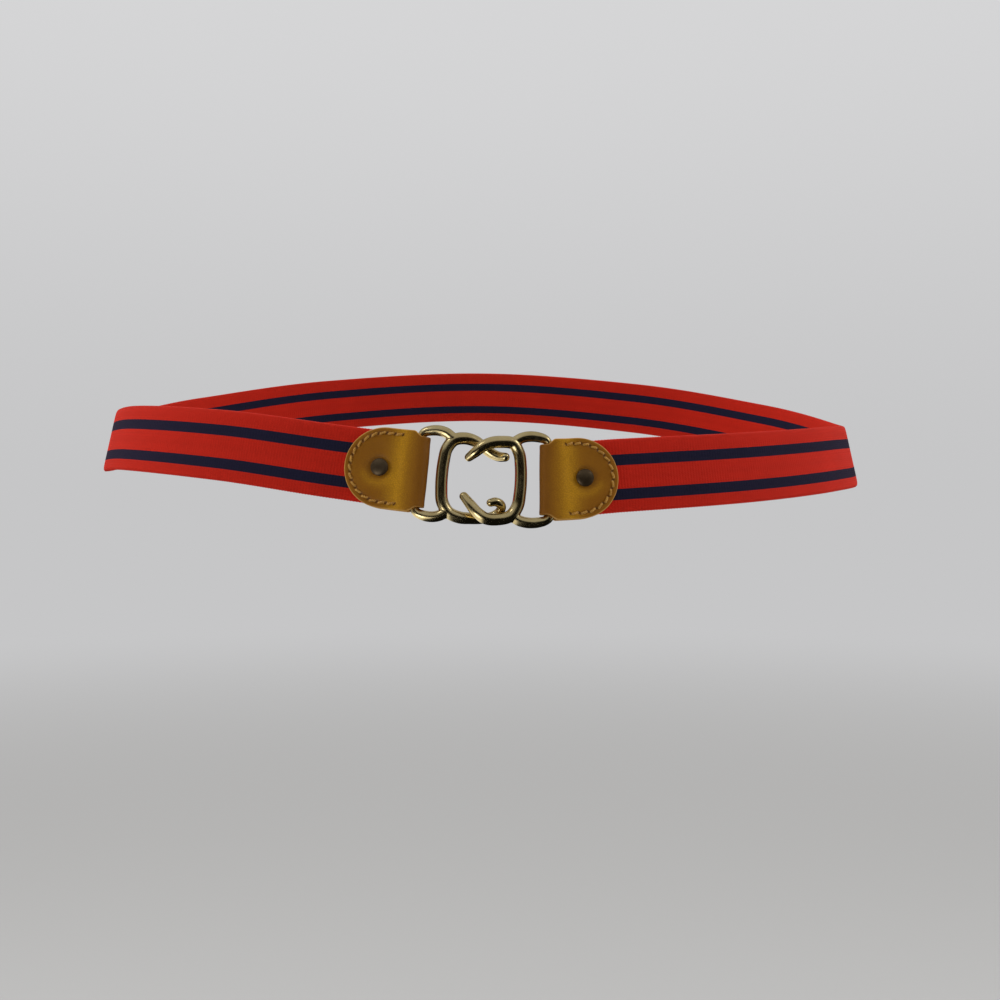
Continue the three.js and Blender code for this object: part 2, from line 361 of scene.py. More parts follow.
# %% The line as a chain, and the group that lays pieces on it
line_lead = 60 * mm
chain_count = 1200
chain_alongs = np.linspace(-line_lead, belt_length + line_lead, chain_count)
chain_points, chain_across, chain_out = belt_frame(chain_alongs)
belt_line = new_piece("belt_line", chain_points, edges=chain_links(chain_count))
point_value(belt_line, "across_way", chain_across)
point_value(belt_line, "out_way", chain_out)
line_sockets = {"Line": "Object", "Lead": "Float"}


def named_vector(tree, name):
    """A vector kept on the points of what the tree works on."""
    return add_node(tree, "GeometryNodeInputNamedAttribute", name, data_type="FLOAT_VECTOR")[0]


def build_laying_group():
    """Node group that moves bench places onto the belt's line."""
    shape = {"Geometry": "Geometry"}
    tree, given, result = new_tree(
        "lay along the belt", "GeometryNodeTree", {**shape, **line_sockets}, shape
    )
    chain = add_node(tree, "GeometryNodeObjectInfo", given["Line"])
    curve = add_node(tree, "GeometryNodeMeshToCurve", chain["Geometry"])
    bench = split(add_node(tree, "GeometryNodeInputPosition")[0])
    distance = bench["X"] + given["Lead"]
    samples = {}
    for way in ("across_way", "out_way"):
        samples[way] = add_node(
            tree,
            "GeometryNodeSampleCurve",
            Curves=curve[0],
            Value=named_vector(tree, way),
            Length=distance,
            mode="LENGTH",
            data_type="FLOAT_VECTOR",
            use_all_curves=True,
        )
    across = vector_calc("SCALE", samples["across_way"]["Value"], Scale=bench["Z"])
    inward = vector_calc("SCALE", samples["out_way"]["Value"], Scale=bench["Y"])
    raised = vector_calc("ADD", samples["across_way"]["Position"], across)
    laid = vector_calc("SUBTRACT", raised, inward)
    moved = add_node(tree, "GeometryNodeSetPosition", given["Geometry"], Position=laid)
    fill(result, {"Geometry": moved[0]})
    return tree


laying_group = build_laying_group()
print(f"chain of {chain_count} points, {(chain_alongs[1] - chain_alongs[0]) * 1000:.2f} mm apart")

# %% [markdown]
# ## What the trees of all pieces share
#
# Every piece's tree is given the line, and ends in the same four nodes, which lay the piece,
# smooth it, make its copies real and give it its material. To run a tree is to put it on a
# piece as a modifier, set its inputs, and keep what it makes as a plain mesh.

# %% How a piece's tree begins, ends and is run
def new_piece_tree(name, sockets):
    """A tree that makes a piece, with the inputs that all of them have."""
    inputs = {"Geometry": "Geometry", **sockets, **line_sockets, "Material": "Material"}
    return new_tree(name, "GeometryNodeTree", inputs, {"Geometry": "Geometry"})


def end_tree(geometry, given, result):
    """Lays the geometry along the belt and gives it its material."""
    tree = tree_of(geometry)
    where = {"Line": given["Line"], "Lead": given["Lead"]}
    laid = add_node(
        tree, "GeometryNodeGroup", node_tree=laying_group, Geometry=geometry, **where
    )
    smooth = add_node(tree, "GeometryNodeSetShadeSmooth", laid[0])
    real = add_node(tree, "GeometryNodeRealizeInstances", smooth[0])
    painted = add_node(tree, "GeometryNodeSetMaterial", real[0], Material=given["Material"])
    fill(result, {"Geometry": painted[0]})
    print(f"tree for the {tree.name}: {len(tree.nodes)} nodes")
    return tree


def run_tree(piece, tree, **values):
    """Runs a tree on a piece, its inputs set by the sockets' identifiers, and keeps the result."""
    modifier = piece.modifiers.new(tree.name, "NODES")
    modifier.node_group = tree
    sockets = {s.name: s.identifier for s in tree.interface.items_tree if s.in_out == "INPUT"}
    for key, value in spaced({"Line": belt_line, "Lead": line_lead, **values}).items():
        modifier[sockets[key]] = value
    settle(piece)
    print(f"{piece.name}: {triangle_count(piece)} triangles")
    return piece


print("every tree is given:", ", ".join(line_sockets))

# %% [markdown]
# ## Shader groups
#
# Three effects are groups with their own inputs. Mottle is slow, soft unevenness of tone, and
# every finish of the belt has it. Scuffs are thin scratches in one direction, for both metals.
# Grain is the fine pebbled surface of the leather. The groups give masks and heights only, and
# the shaders stay in the materials.

# %% Mottle, grain and scuffs
tone_span = (0.8, 1.2)
grain_wander = 0.6 * mm
pebble_edge = 0.22
pore_share = 0.35
scuff_turn = (0.3, 0.9, 0.5)
scuff_stretch = (1.0, 9.0, 9.0)
scuff_level = 0.78
scuff_softness = 0.12


def noise(place, scale, detail=3.0, roughness=0.5):
    """A noise texture on given coordinates, its scale in blobs per metre."""
    amounts = {"Scale": scale, "Detail": detail, "Roughness": roughness}
    return add_node(tree_of(place), "ShaderNodeTexNoise", place, **amounts)


def build_mottle_group():
    tree, given, result = new_tree(
        "mottle",
        "ShaderNodeTree",
        {"Place": "Vector", "Patches per Metre": "Float", "Strength": "Float"},
        {"Tone": "Float"},
    )
    patches = noise(given["Place"], given["Patches per Metre"], detail=5.0, roughness=0.6)[0]
    fill(result, {"Tone": (patches - 0.5) * given["Strength"] + 1.0})
    return tree


def build_grain_group():
    tree, given, result = new_tree(
        "grain",
        "ShaderNodeTree",
        {"Place": "Vector", "Cells per Metre": "Float"},
        {"Height": "Float", "Crease": "Float"},
    )
    place = given["Place"]
    drift = noise(place, scale=900.0, detail=2.0)["Color"]
    wander = vector_calc("SCALE", drift, Scale=grain_wander)
    cells = add_node(
        tree,
        "ShaderNodeTexVoronoi",
        vector_calc("ADD", place, wander),
        Scale=given["Cells per Metre"],
        feature="DISTANCE_TO_EDGE",
    )
    pebble = remap(cells["Distance"], 0.0, pebble_edge)
    pores = noise(place, scale=5200.0, detail=2.0)[0]
    fill(result, {"Height": pores * pore_share + pebble, "Crease": 1.0 - pebble})
    return tree


def build_scuff_group():
    tree, given, result = new_tree(
        "scuffs", "ShaderNodeTree", {"Place": "Vector", "Amount": "Float"}, {"Mask": "Float"}
    )
    turned = {"Rotation": scuff_turn, "Scale": scuff_stretch}
    long_way = add_node(tree, "ShaderNodeMapping", given["Place"], **turned)[0]
    streaks = noise(long_way, scale=420.0, detail=6.0, roughness=0.75)[0]
    above = streaks - (scuff_level - given["Amount"])
    fill(result, {"Mask": calc("DIVIDE", above, scuff_softness, clamp=True)})
    return tree


mottle_group = build_mottle_group()
grain_group = build_grain_group()
scuff_group = build_scuff_group()
print("shader groups:", ", ".join(g.name for g in (mottle_group, grain_group, scuff_group)))

# %% [markdown]
# ## Starting a material
#
# Each material starts from the Principled shader. What is the same all over a surface is set on
# the shader's own socket, and only what changes over it comes from nodes. Colours are written
# as a screen shows them, from 0 to 255, because that is how they are compared with the picture.
#
# A Mix node has sockets for numbers, for vectors and for colours under the same names, so those
# for colours are picked by their number.

# %% Material helpers
def new_material(name, **shader_values):
    """A material, its tree and its Principled shader, with the values that are the same all over."""
    material = bpy.data.materials.new(name)
    material.use_nodes = True
    shader = material.node_tree.nodes["Principled BSDF"]
    fill(shader, spaced(shader_values))
    return material, material.node_tree, shader


def use_group(group, place, **values):
    """A shader group placed in a material, with its own values."""
    return add_node(tree_of(place), "ShaderNodeGroup", node_tree=group, Place=place, **values)


def colour(red, green, blue):
    """A colour given as it shows on a screen, from 0 to 255."""
    screen = np.array([red, green, blue]) / 255
    light = np.where(screen <= 0.04045, screen / 12.92, ((screen + 0.055) / 1.055) ** 2.4)
    return (*light.tolist(), 1.0)


def mix(factor, first, second, blend="MIX"):
    """Two colours mixed by a factor."""
    tree = tree_of(factor, first, second)
    made = add_node(tree, "ShaderNodeMix", factor, data_type="RGBA", blend_type=blend)
    colour_a, colour_b, colour_out = 6, 7, 2
    fill(made.node, {colour_a: first, colour_b: second})
    return made[colour_out]


def object_place(tree):
    """The piece's own coordinates, in metres."""
    return add_node(tree, "ShaderNodeTexCoord")["Object"]


def attribute(tree, name, output="Fac"):
    """A number or vector kept on the mesh."""
    return add_node(tree, "ShaderNodeAttribute", attribute_name=name)[output]


def bump(shader, height, distance, strength):
    """A height that feeds the shader's normal, with its real depth in metres."""
    amounts = {"Height": height, "Distance": distance, "Strength": strength}
    fill(shader, {"Normal": add_node(shader.id_data, "ShaderNodeBump", **amounts)[0]})


print("mid grey, in light:", round(colour(128, 128, 128)[0], 3))

# %% [markdown]
# ## The finish of the striped webbing
#
# Elastic webbing is warp-faced: the threads that run along it cover it, so each stripe is a
# group of coloured threads and its borders are as fine as one thread. Under them lie rubber
# cores and thick weft threads, which lift the surface into ribs across the strap.
#
# A painted stripe would look printed. Here the strap's own across coordinate is cut into
# threads first, and each thread takes its colour whole. Each thread is a little round and a
# little lighter or darker than its neighbours, and the gaps between them are painted darker,
# a painted shade.

# %% Webbing material
strap_width = 25.4 * mm
strap_threads = 60
strap_thread_width = strap_width / strap_threads
strap_rib_pitch = 1.1 * mm
pattern_middle = -0.6 * mm
middle_band_half = 4.0 * mm
stripe_outer_edge = 7.9 * mm
strap_red = colour(205, 39, 23)
strap_navy = colour(29, 29, 52)
strap_fuzz = colour(255, 150, 130)
thread_relief = 0.11 * mm
thread_heights = (0.55, 1.0)
fibre_height = 0.5
thread_tones = (0.96, 1.04)
fibre_tones = (0.75, 1.25)
# painted shade: tones for low places between and under the threads
gap_shade_tones = (0.74, 1.04)
fibre_roughness = (0.8, 1.0)


def build_webbing_material():
    material, tree, shader = new_material(
        "striped_webbing",
        Sheen_Weight=0.04,
        Sheen_Roughness=0.5,
        Sheen_Tint=strap_fuzz,
        Specular_IOR_Level=0.12,
    )
    on_strip = split(add_node(tree, "ShaderNodeUVMap", uv_map="strip")[0])
    threads = on_strip["Y"] * (1 / strap_thread_width)
    number = calc("FLOOR", threads)
    middle = (number + 0.5) * strap_thread_width
    off_centre = calc("ABSOLUTE", middle - pattern_middle)
    inside = calc("GREATER_THAN", off_centre, middle_band_half)
    navy = inside * calc("LESS_THAN", off_centre, stripe_outer_edge)

    ribs = on_strip["X"] * (1 / strap_rib_pitch)
    over = calc("COSINE", (number * 0.5 + ribs) * math.tau) * 0.5 + 0.5
    roundness = calc("ABSOLUTE", calc("SINE", threads * math.pi))
    height = roundness * between(over, *thread_heights)

    place = object_place(tree)
    each = add_node(tree, "ShaderNodeTexWhiteNoise", W=number, noise_dimensions="1D")[0]
    patches = use_group(mottle_group, place, Patches_per_Metre=60.0, Strength=0.22)
    fibres = noise(place, scale=3800.0, roughness=0.7)[0]
    tone = between(each, *thread_tones) * patches["Tone"]
    # painted shade: lower places, the gaps between threads and where they dip under, are darker
    tone = tone * (between(fibres, *fibre_tones) * between(height, *gap_shade_tones))
    grey = add_node(tree, "ShaderNodeCombineColor", tone, tone, tone)[0]
    shade = mix(1.0, mix(navy, strap_red, strap_navy), grey, "MULTIPLY")
    fill(shader, {"Base Color": shade, "Roughness": between(fibres, *fibre_roughness)})
    bump(shader, fibres * fibre_height + height, thread_relief, strength=0.8)
    return material


webbing_material = build_webbing_material()
print(f"{strap_threads} threads across the strap, {1000 * strap_thread_width:.2f} mm wide")

# %% [markdown]
# ## The webbing
#
# The strap is the main piece, and its shape follows a rule: a flat strip of one section, laid
# along the line. It could be a curve with a bevel, but then the ribs would have to be painted.
# In a node tree the strip is a fine grid, so ribs and the scalloped edge are real.
#
# Both faces are the same grid. A point's place across the strip is spread with a sine, which
# crowds the rows at the edges, and the thickness there follows a round-edged curve down to
# nothing, where the two faces meet and are merged. The cut ends close in the same way, and are
# hidden between the leaves of the leather.

# %% The tree that makes the webbing
edge_sharpness = 16.0
same_place = 1e-6


def build_webbing_tree():
    sizes = ("Start", "Length", "Width", "Thickness", "Rib Pitch", "Rib Relief", "Scallop")
    tree, given, result = new_piece_tree(
        "striped webbing", {**dict.fromkeys(sizes, "Float"), "Steps": "Int", "Rows": "Int"}
    )
    length, thickness = given["Length"], given["Thickness"]
    grid = add_node(tree, "GeometryNodeMeshGrid", length, math.pi, given["Steps"], given["Rows"])
    at = split(add_node(tree, "GeometryNodeInputPosition")[0])
    half_length = length * 0.5
    along = at["X"] + half_length + given["Start"]
    share = calc("SINE", at["Y"])
    near_edge = calc("POWER", calc("ABSOLUTE", share), edge_sharpness)
    round_edge = calc("SQRT", calc("SUBTRACT", 1.0, near_edge, clamp=True))
    to_end = half_length - calc("ABSOLUTE", at["X"])
    sealed_end = calc("SQRT", calc("DIVIDE", to_end, thickness, clamp=True))

    rib = calc("COSINE", along * math.tau / given["Rib Pitch"])
    lifted = (thickness * 0.5 + rib * given["Rib Relief"]) * round_edge * sealed_end
    across = share * (given["Width"] * 0.5 + rib * near_edge * given["Scallop"])

    faces = add_node(tree, "GeometryNodeJoinGeometry")
    for way in (-1, 1):
        target = add_node(tree, "ShaderNodeCombineXYZ", along, lifted * way, across)
        face = add_node(tree, "GeometryNodeSetPosition", grid[0], Position=target[0])[0]
        if way > 0:
            face = add_node(tree, "GeometryNodeFlipFaces", face)[0]
        fill(faces.node, {"Geometry": face})
    joined = add_node(tree, "GeometryNodeMergeByDistance", faces[0], Distance=same_place)
    mapped = add_node(
        tree,
        "GeometryNodeStoreNamedAttribute",
        joined[0],
        Name="strip",
        Value=add_node(tree, "ShaderNodeCombineXYZ", at["X"], at["Z"])[0],
        data_type="FLOAT2",
        domain="CORNER",
    )
    return end_tree(mapped[0], given, result)


webbing_tree = build_webbing_tree()

# %% [markdown]
# ## The strap from tab to tab
#
# The strap starts inside one tab and goes round the back to the inside of the other. Four steps
# of the grid make one rib, which is enough for its wave, and fifteen rows across are enough,
# because they lie close together where the edges are round.

# %% The webbing itself
strap_thickness = 1.6 * mm
strap_start = 27.5 * mm
strap_long = belt_length - 2 * strap_start
steps_per_rib = 4

webbing = run_tree(
    new_piece("striped_webbing", np.zeros((1, 3))),
    webbing_tree,
    Start=strap_start,
    Length=strap_long,
    Width=strap_width,
    Thickness=strap_thickness,
    Rib_Pitch=strap_rib_pitch,
    Rib_Relief=0.045 * mm,
    Scallop=0.07 * mm,
    Steps=1 + steps_per_rib * round(strap_long / strap_rib_pitch),
    Rows=15,
    Material=webbing_material,
)
print(f"the strap is {strap_long * 1000:.0f} mm long")

# %% [markdown]
# ## A tree for pieces drawn point by point
#
# The leather, the rivets and the castings are worked out as points on the bench, because their
# outlines are simple formulas. Their node tree only joins points that lie together, lays the
# piece along the belt and gives it its material.

# %% Tree that lays a drawn piece
def build_bench_tree():
    tree, given, result = new_piece_tree("bench piece", {"Join Within": "Float"})
    within = {"Distance": given["Join Within"]}
    joined = add_node(tree, "GeometryNodeMergeByDistance", given["Geometry"], **within)
    return end_tree(joined[0], given, result)


bench_tree = build_bench_tree()


def lay_piece(piece, material):
    """Lays a piece from the bench along the belt."""
    return run_tree(piece, bench_tree, Join_Within=same_place, Material=material)


# %% [markdown]
# ## The finish of the leather
#
# The tabs are smooth tan leather with a little gloss. Their colour is uneven in large soft
# patches, the grain shows only where light grazes it, and the cut edge is a little lighter and
# rougher than the face. Where the leather turns round the bar it is painted darker, a painted
# shade, and a painted highlight lightens the ramp past the bar and the leaf below the rivet.
#
# The needle holes are not painted by place. Each point of the leaf knows how far along the
# seam it is, counted in stitches, and how far beside it, so a hole is a small slanting spot at
# every whole number. The holes are painted darker, a painted shade in each hole.

# %% Leather material
stitch_pitch = 2.9 * mm
needle_hole_half_width = 0.5 * mm
needle_hole_half_length = 0.8 * mm
needle_hole_slant = 0.5
needle_hole_core = 0.15
cut_edge_reach = (0.1 * mm, 0.55 * mm)
cut_edge_share = 0.7
creased_share = 0.35
fold_shade_share = 0.6
leather_roughness = 0.32
mottle_roughness = 0.12
cut_edge_roughness = 0.3
leather_relief = 0.16 * mm
pebble_height = 0.3
tan_deep = colour(139, 86, 9)
tan_fair = colour(156, 102, 13)
# painted highlight: lighter tan where the ramp past the bar and the leaf below the rivet catch the
# light
tan_painted_highlight = colour(196, 141, 22)
tan_creased = colour(120, 72, 10)
tan_cut_edge = colour(206, 156, 80)
# painted shade: darker tan where the leather turns away round the bar
tan_fold_shade = colour(118, 70, 8)
# painted shade inside the needle holes
tan_needle_hole_shade = colour(108, 67, 13)


def build_leather_material():
    material, tree, shader = new_material("tan_leather", Specular_IOR_Level=0.2)
    place = object_place(tree)
    grain = use_group(grain_group, place, Cells_per_Metre=1500.0)
    tone = use_group(mottle_group, place, Patches_per_Metre=110.0, Strength=0.4)["Tone"]
    seam = split(attribute(tree, "seam", "Vector"))
    nearest = seam["X"] - calc("ROUND", seam["X"])
    narrow = (seam["Y"] * needle_hole_slant + nearest * stitch_pitch) / needle_hole_half_width
    tall = seam["Y"] / needle_hole_half_length
    from_hole = narrow * narrow + tall * tall
    hole = remap(from_hole, needle_hole_core, 1.0, 1.0, 0.0) * seam["Z"]
    rim = remap(attribute(tree, "edge_distance"), *cut_edge_reach, cut_edge_share, 0.0)

    shade = mix(remap(tone, *tone_span), tan_deep, tan_fair)
    for share, over in (
        # painted highlight on the ramp past the bar and below the rivet
        (attribute(tree, "rubbed"), tan_painted_highlight),
        (grain["Crease"] * creased_share, tan_creased),
        (rim, tan_cut_edge),
        # painted shade where the fold turns away from the light
        (attribute(tree, "fold") * fold_shade_share, tan_fold_shade),
        # painted shade in the needle holes
        (hole, tan_needle_hole_shade),
    ):
        shade = mix(share, shade, over)
    roughness = rim * cut_edge_roughness + (tone * mottle_roughness + leather_roughness)
    fill(shader, {"Base Color": shade, "Roughness": roughness})
    bump(shader, grain["Height"] * pebble_height - hole, leather_relief, strength=0.4)
    return material


leather_material = build_leather_material()
print(f"leather with a needle hole every {stitch_pitch * 1000:.1f} mm")

# %% [markdown]
# ## The finish of thread and metal
#
# The thread is waxed and a shade lighter than the leather. The clasp and the rivets are plated
# castings and pressings: two shades of plate, uneven gloss and faint scratches, with a surface
# that is not quite flat. They differ only in their values, so one function makes both. The
# rivets' bronze is partly tarnished, which dulls its mirror.
#
# A metal's shade is the share of red, green and blue light that it mirrors, so these shades are
# given as light and not as they show on a screen.

# %% Thread and metal materials
thread_deep = colour(172, 120, 34)
thread_fair = colour(204, 152, 58)
thread_fuzz_depth = 0.03 * mm
casting_wave_depth = 0.05 * mm
gloss_span = (0.75, 1.25)
scuff_roughness = 0.08
gold_worn = (0.58, 0.45, 0.21, 1.0)
gold_plate = (0.69, 0.565, 0.30, 1.0)
bronze_worn = (0.065, 0.042, 0.02, 1.0)
bronze_plate = (0.11, 0.076, 0.042, 1.0)


def build_thread_material():
    material, tree, shader = new_material(
        "tan_thread", Sheen_Weight=0.2, Specular_IOR_Level=0.35, Roughness=0.6
    )
    place = object_place(tree)
    tone = use_group(mottle_group, place, Patches_per_Metre=900.0, Strength=0.5)["Tone"]
    fill(shader, {"Base Color": mix(remap(tone, *tone_span), thread_deep, thread_fair)})
    bump(shader, noise(place, scale=9000.0, detail=2.0)[0], thread_fuzz_depth, strength=0.5)
    return material


def build_metal_material(name, worn_shade, plate_shade, smooth, rough, metallic=1.0):
    """Plated metal: two shades of plate, uneven gloss and faint scratches."""
    material, tree, shader = new_material(name, Metallic=metallic)
    place = object_place(tree)
    tone = use_group(mottle_group, place, Patches_per_Metre=170.0, Strength=0.8)["Tone"]
    scuffs = use_group(scuff_group, place, Amount=0.12)["Mask"]
    shade = mix(remap(tone, *tone_span), worn_shade, plate_shade)
    gloss = scuffs * scuff_roughness + remap(tone, *gloss_span, smooth, rough)
    fill(shader, {"Base Color": shade, "Roughness": gloss})
    bump(shader, noise(place, scale=260.0, roughness=0.6)[0], casting_wave_depth, strength=0.35)
    return material


thread_material = build_thread_material()
clasp_material = build_metal_material(
    "pale_gold_plate", gold_worn, gold_plate, smooth=0.16, rough=0.26
)
rivet_material = build_metal_material(
    "dark_bronze_plate", bronze_worn, bronze_plate, smooth=0.38, rough=0.48, metallic=0.75
)
print("finishes:", ", ".join(m.name for m in (thread_material, clasp_material, rivet_material)))

# %% [markdown]
# ## The leather tabs
#
# Each tab is one strip of leather. It lies on the strap's back, turns round the clasp's bar and
# lies on the strap's front, and both of its ends are round. Flat, the strip is a stadium, so
# its points are drawn on rays from a middle line to the outline, with close rows near the edge
# where the section is rounded and where the seam is pulled in. The same two numbers, the run
# along the strip and the place across it, then give the folded place.

# %% The strip, flat and folded
ends = {
    "left": {"side": -1, "bar": 21.6 * mm, "rivet": 34.4 * mm},
    "right": {"side": 1, "bar": 23 * mm, "rivet": 34.9 * mm},
}
tab_thickness = 1.4 * mm
tab_end_radius = 13.8 * mm
tab_end_middle = 46.6 * mm - tab_end_radius
tab_neck_half_width = 12 * mm
shoulder_start = -0.8 * mm
shoulder_end = 2.2 * mm
tab_ramp = 7 * mm
bar_radius = 1.5 * mm
fold_radius = bar_radius + 0.35 * mm + tab_thickness / 2
leaf_out = strap_thickness / 2 + 0.2 * mm + tab_thickness / 2
quarter_fold = fold_radius * math.pi / 2
outline_step = 0.35 * mm


def smooth_step(low, high, values):
    """Zero below low, one above high, and a smooth rise between."""
    t = np.clip((values - low) / (high - low), 0, 1)
    return t * t * (3 - 2 * t)


def hill(values, middle, width):
    """A soft hump of height one."""
    return np.exp(-(((values - middle) / width) ** 2))


def strip_line(run, bar):
    """Along and out of the strip's middle layer, at distances from the fold's tip."""
    turn = np.clip(run / fold_radius, -math.pi / 2, math.pi / 2)
    beyond = np.maximum(np.abs(run) - quarter_fold, 0)
    level = fold_radius + (leaf_out - fold_radius) * smooth_step(0, tab_ramp, beyond)
    return bar - fold_radius * np.cos(turn) + beyond, level * np.sin(turn)


def strip_outline(bar):
    """Feet on the strip's middle line and their places on the outline, once round."""
    run_end = quarter_fold + tab_end_middle - bar
    straight = np.linspace(-run_end, run_end, 1 + round(2 * run_end / outline_step))
    widening = smooth_step(shoulder_start, shoulder_end, strip_line(straight, bar)[0] - bar)
    half_width = tab_neck_half_width + (tab_end_radius - tab_neck_half_width) * widening
    turns = np.linspace(-math.pi / 2, math.pi / 2, round(math.pi * tab_end_radius / outline_step))
    arc = turns[1:-1]
    round_run = tab_end_radius * np.cos(arc)
    round_across = tab_end_radius * np.sin(arc)
    feet = [straight, np.full(len(arc), run_end), straight[::-1], np.full(len(arc), -run_end)]
    rim_run = feet[0], run_end + round_run, feet[2], -run_end - round_run
    rim_across = -half_width, round_across, half_width[::-1], -round_across
    return np.concatenate(feet), np.concatenate(rim_run), np.concatenate(rim_across)


near_edge_rows = np.array([0, 0.02, 0.07, 0.15, 0.26, 0.38, 0.5]) * mm
seam_rows = np.arange(0.75, 3.3, 0.25) * mm
middle_row_count = 25


def strip_grid(bar):
    """Run, place across and distance from the edge, for the points of one strip."""
    feet, rim_run, rim_across = strip_outline(bar)
    reach = np.hypot(rim_run - feet, rim_across)
    insets = [np.full(len(reach), depth) for depth in (*near_edge_rows, *seam_rows)]
    for share in np.linspace(0, 1, middle_row_count + 1)[1:]:
        insets.append(seam_rows[-1] + (reach - seam_rows[-1]) * share)
    inset = np.array(insets)
    share = 1 - inset / reach
    return feet + (rim_run - feet) * share, rim_across * share, inset


print("points of the left strip:", strip_grid(ends["left"]["bar"])[2].size)

# %% [markdown]
# ## The leather's relief
#
# A plain slab would look like card. The outer face therefore carries the real wear: the seam
# draws a shallow groove, deeper at each needle hole, the rivet's cap presses a dip with a soft
# ring around it, and the leaf is slightly padded between them. All of it is a height over the
# folded strip, and the places of the holes come from counting stitches along the seam.

# %% Seam, dents and bulges
seam_inset = 2.0 * mm
seam_from_bar = 6 * mm
groove_width = 0.55 * mm
groove_depth = 0.13 * mm
hole_depth = 0.11 * mm
rim_swell = 0.05 * mm
rim_swell_middle = 1.0 * mm
rim_swell_width = 0.5 * mm
leaf_padding = 0.12 * mm
padded_from_edge = 6 * mm
rivet_dent = 0.25 * mm
dent_radius = 3.1 * mm
dent_width = 0.6 * mm
rivet_ring = 0.16 * mm
ring_radius = 5.0 * mm
ring_width = 1.5 * mm
waviness = 0.03 * mm
wave_count = 7
wave_seed = 7
waves_per_metre = 140
seam_fade = (-0.55, -0.2)
cap_radius = 3 * mm
dish_radius = 10 * mm
dish_depth = 0.5 * mm
bulge_height = 0.32 * mm
bulge_offset = 3.2 * mm
edge_rounding = 0.5 * mm


def seam_count(bar):
    """Length of the seam round one leaf, and its whole number of stitches."""
    length = 2 * (tab_end_middle - bar - seam_from_bar) + math.pi * (tab_end_radius - seam_inset)
    return length, round(length / stitch_pitch)


def front_lift(end, along, across):
    """How far the front leaf stands up: a dish round the rivet and a bulge by the fold."""
    from_rivet = np.hypot(along - end["rivet"], across)
    past_ramp = smooth_step(end["bar"], end["bar"] + tab_ramp, along)
    dish = dish_depth * smooth_step(cap_radius, dish_radius, from_rivet) * past_ramp
    return dish + bulge_height * hill(along, end["bar"] + bulge_offset, bulge_offset)


def seam_places(bar, along, across):
    """Places counted in stitches along the seam, and one where there are stitches."""
    length, stitches = seam_count(bar)
    past_end = np.maximum(along - tab_end_middle, 0)
    end_turn = np.arctan2(across, past_end)
    end_turn = np.where(past_end > 0, end_turn, np.sign(across) * math.pi / 2)
    straight_left = np.clip(tab_end_middle - along, -1, None) * (past_end == 0)
    from_middle = end_turn * (tab_end_radius - seam_inset) + np.sign(across) * straight_left
    number = (from_middle + length / 2) / length * stitches
    return number, smooth_step(*seam_fade, number) * smooth_step(*seam_fade, stitches - number)


def waves(side, along, across):
    """Slow unevenness, from a few sine waves in random directions."""
    random = np.random.default_rng(wave_seed + side)
    total = np.zeros_like(along)
    for _ in range(wave_count):
        turn, cycles, phase = random.uniform(0, [math.tau, waves_per_metre, math.tau])
        distance = along * math.cos(turn) + across * math.sin(turn)
        total += np.sin(math.tau * cycles * distance + phase)
    return total


def leather_relief_at(end, along, across, inset, number, in_seam):
    """Height of the outer face over the plain strip."""
    from_rivet = np.hypot(along - end["rivet"], across)
    at_hole = 0.5 + 0.5 * np.cos(math.tau * number)
    flat_leaf = smooth_step(end["bar"], end["bar"] + tab_ramp, along)
    relief = -hill(inset, seam_inset, groove_width) * in_seam * (groove_depth + hole_depth * at_hole)
    relief += rim_swell * hill(inset, rim_swell_middle, rim_swell_width)
    relief += leaf_padding * smooth_step(seam_inset, padded_from_edge, inset) * flat_leaf
    relief -= rivet_dent * hill(from_rivet, dent_radius, dent_width)
    relief += rivet_ring * hill(from_rivet, ring_radius, ring_width)
    relief += waviness * waves(end["side"], along, across)
    return relief * smooth_step(0, edge_rounding, inset)


for name, end in ends.items():
    print(f"{name} seam: {seam_count(end['bar'])[1]} stitches on each leaf")

# %% [markdown]
# ## Making the tabs
#
# Each point of the flat strip goes to the folded middle layer and then along that layer's
# normal, up by half the thickness for the outer face and down for the inner one. Near the edge
# the thickness shrinks to nothing on a rounded curve, and the two faces meet. The left tab is
# drawn as a mirror image, so its faces are turned to point outwards again.
#
# What the finish needs is kept on the points: the seam's count, the distance from the edge, the
# fold, which the finish paints darker as shade, and where a painted highlight lightens the leather.

# %% Leather tabs from a folded strip
# Sizes of the painted highlight: a band on the ramp past the bar and a ring below the rivet.
highlight_past_bar = 6 * mm
highlight_width = 3.6 * mm
highlight_ring_share = 0.5
highlight_ring_radius = 5.4 * mm
highlight_ring_width = 1.6 * mm
highlight_below = 4 * mm
# The fold's painted shade spans these runs.
fold_shade_from = 0.6 * quarter_fold
fold_shade_to = quarter_fold + 1.5 * mm


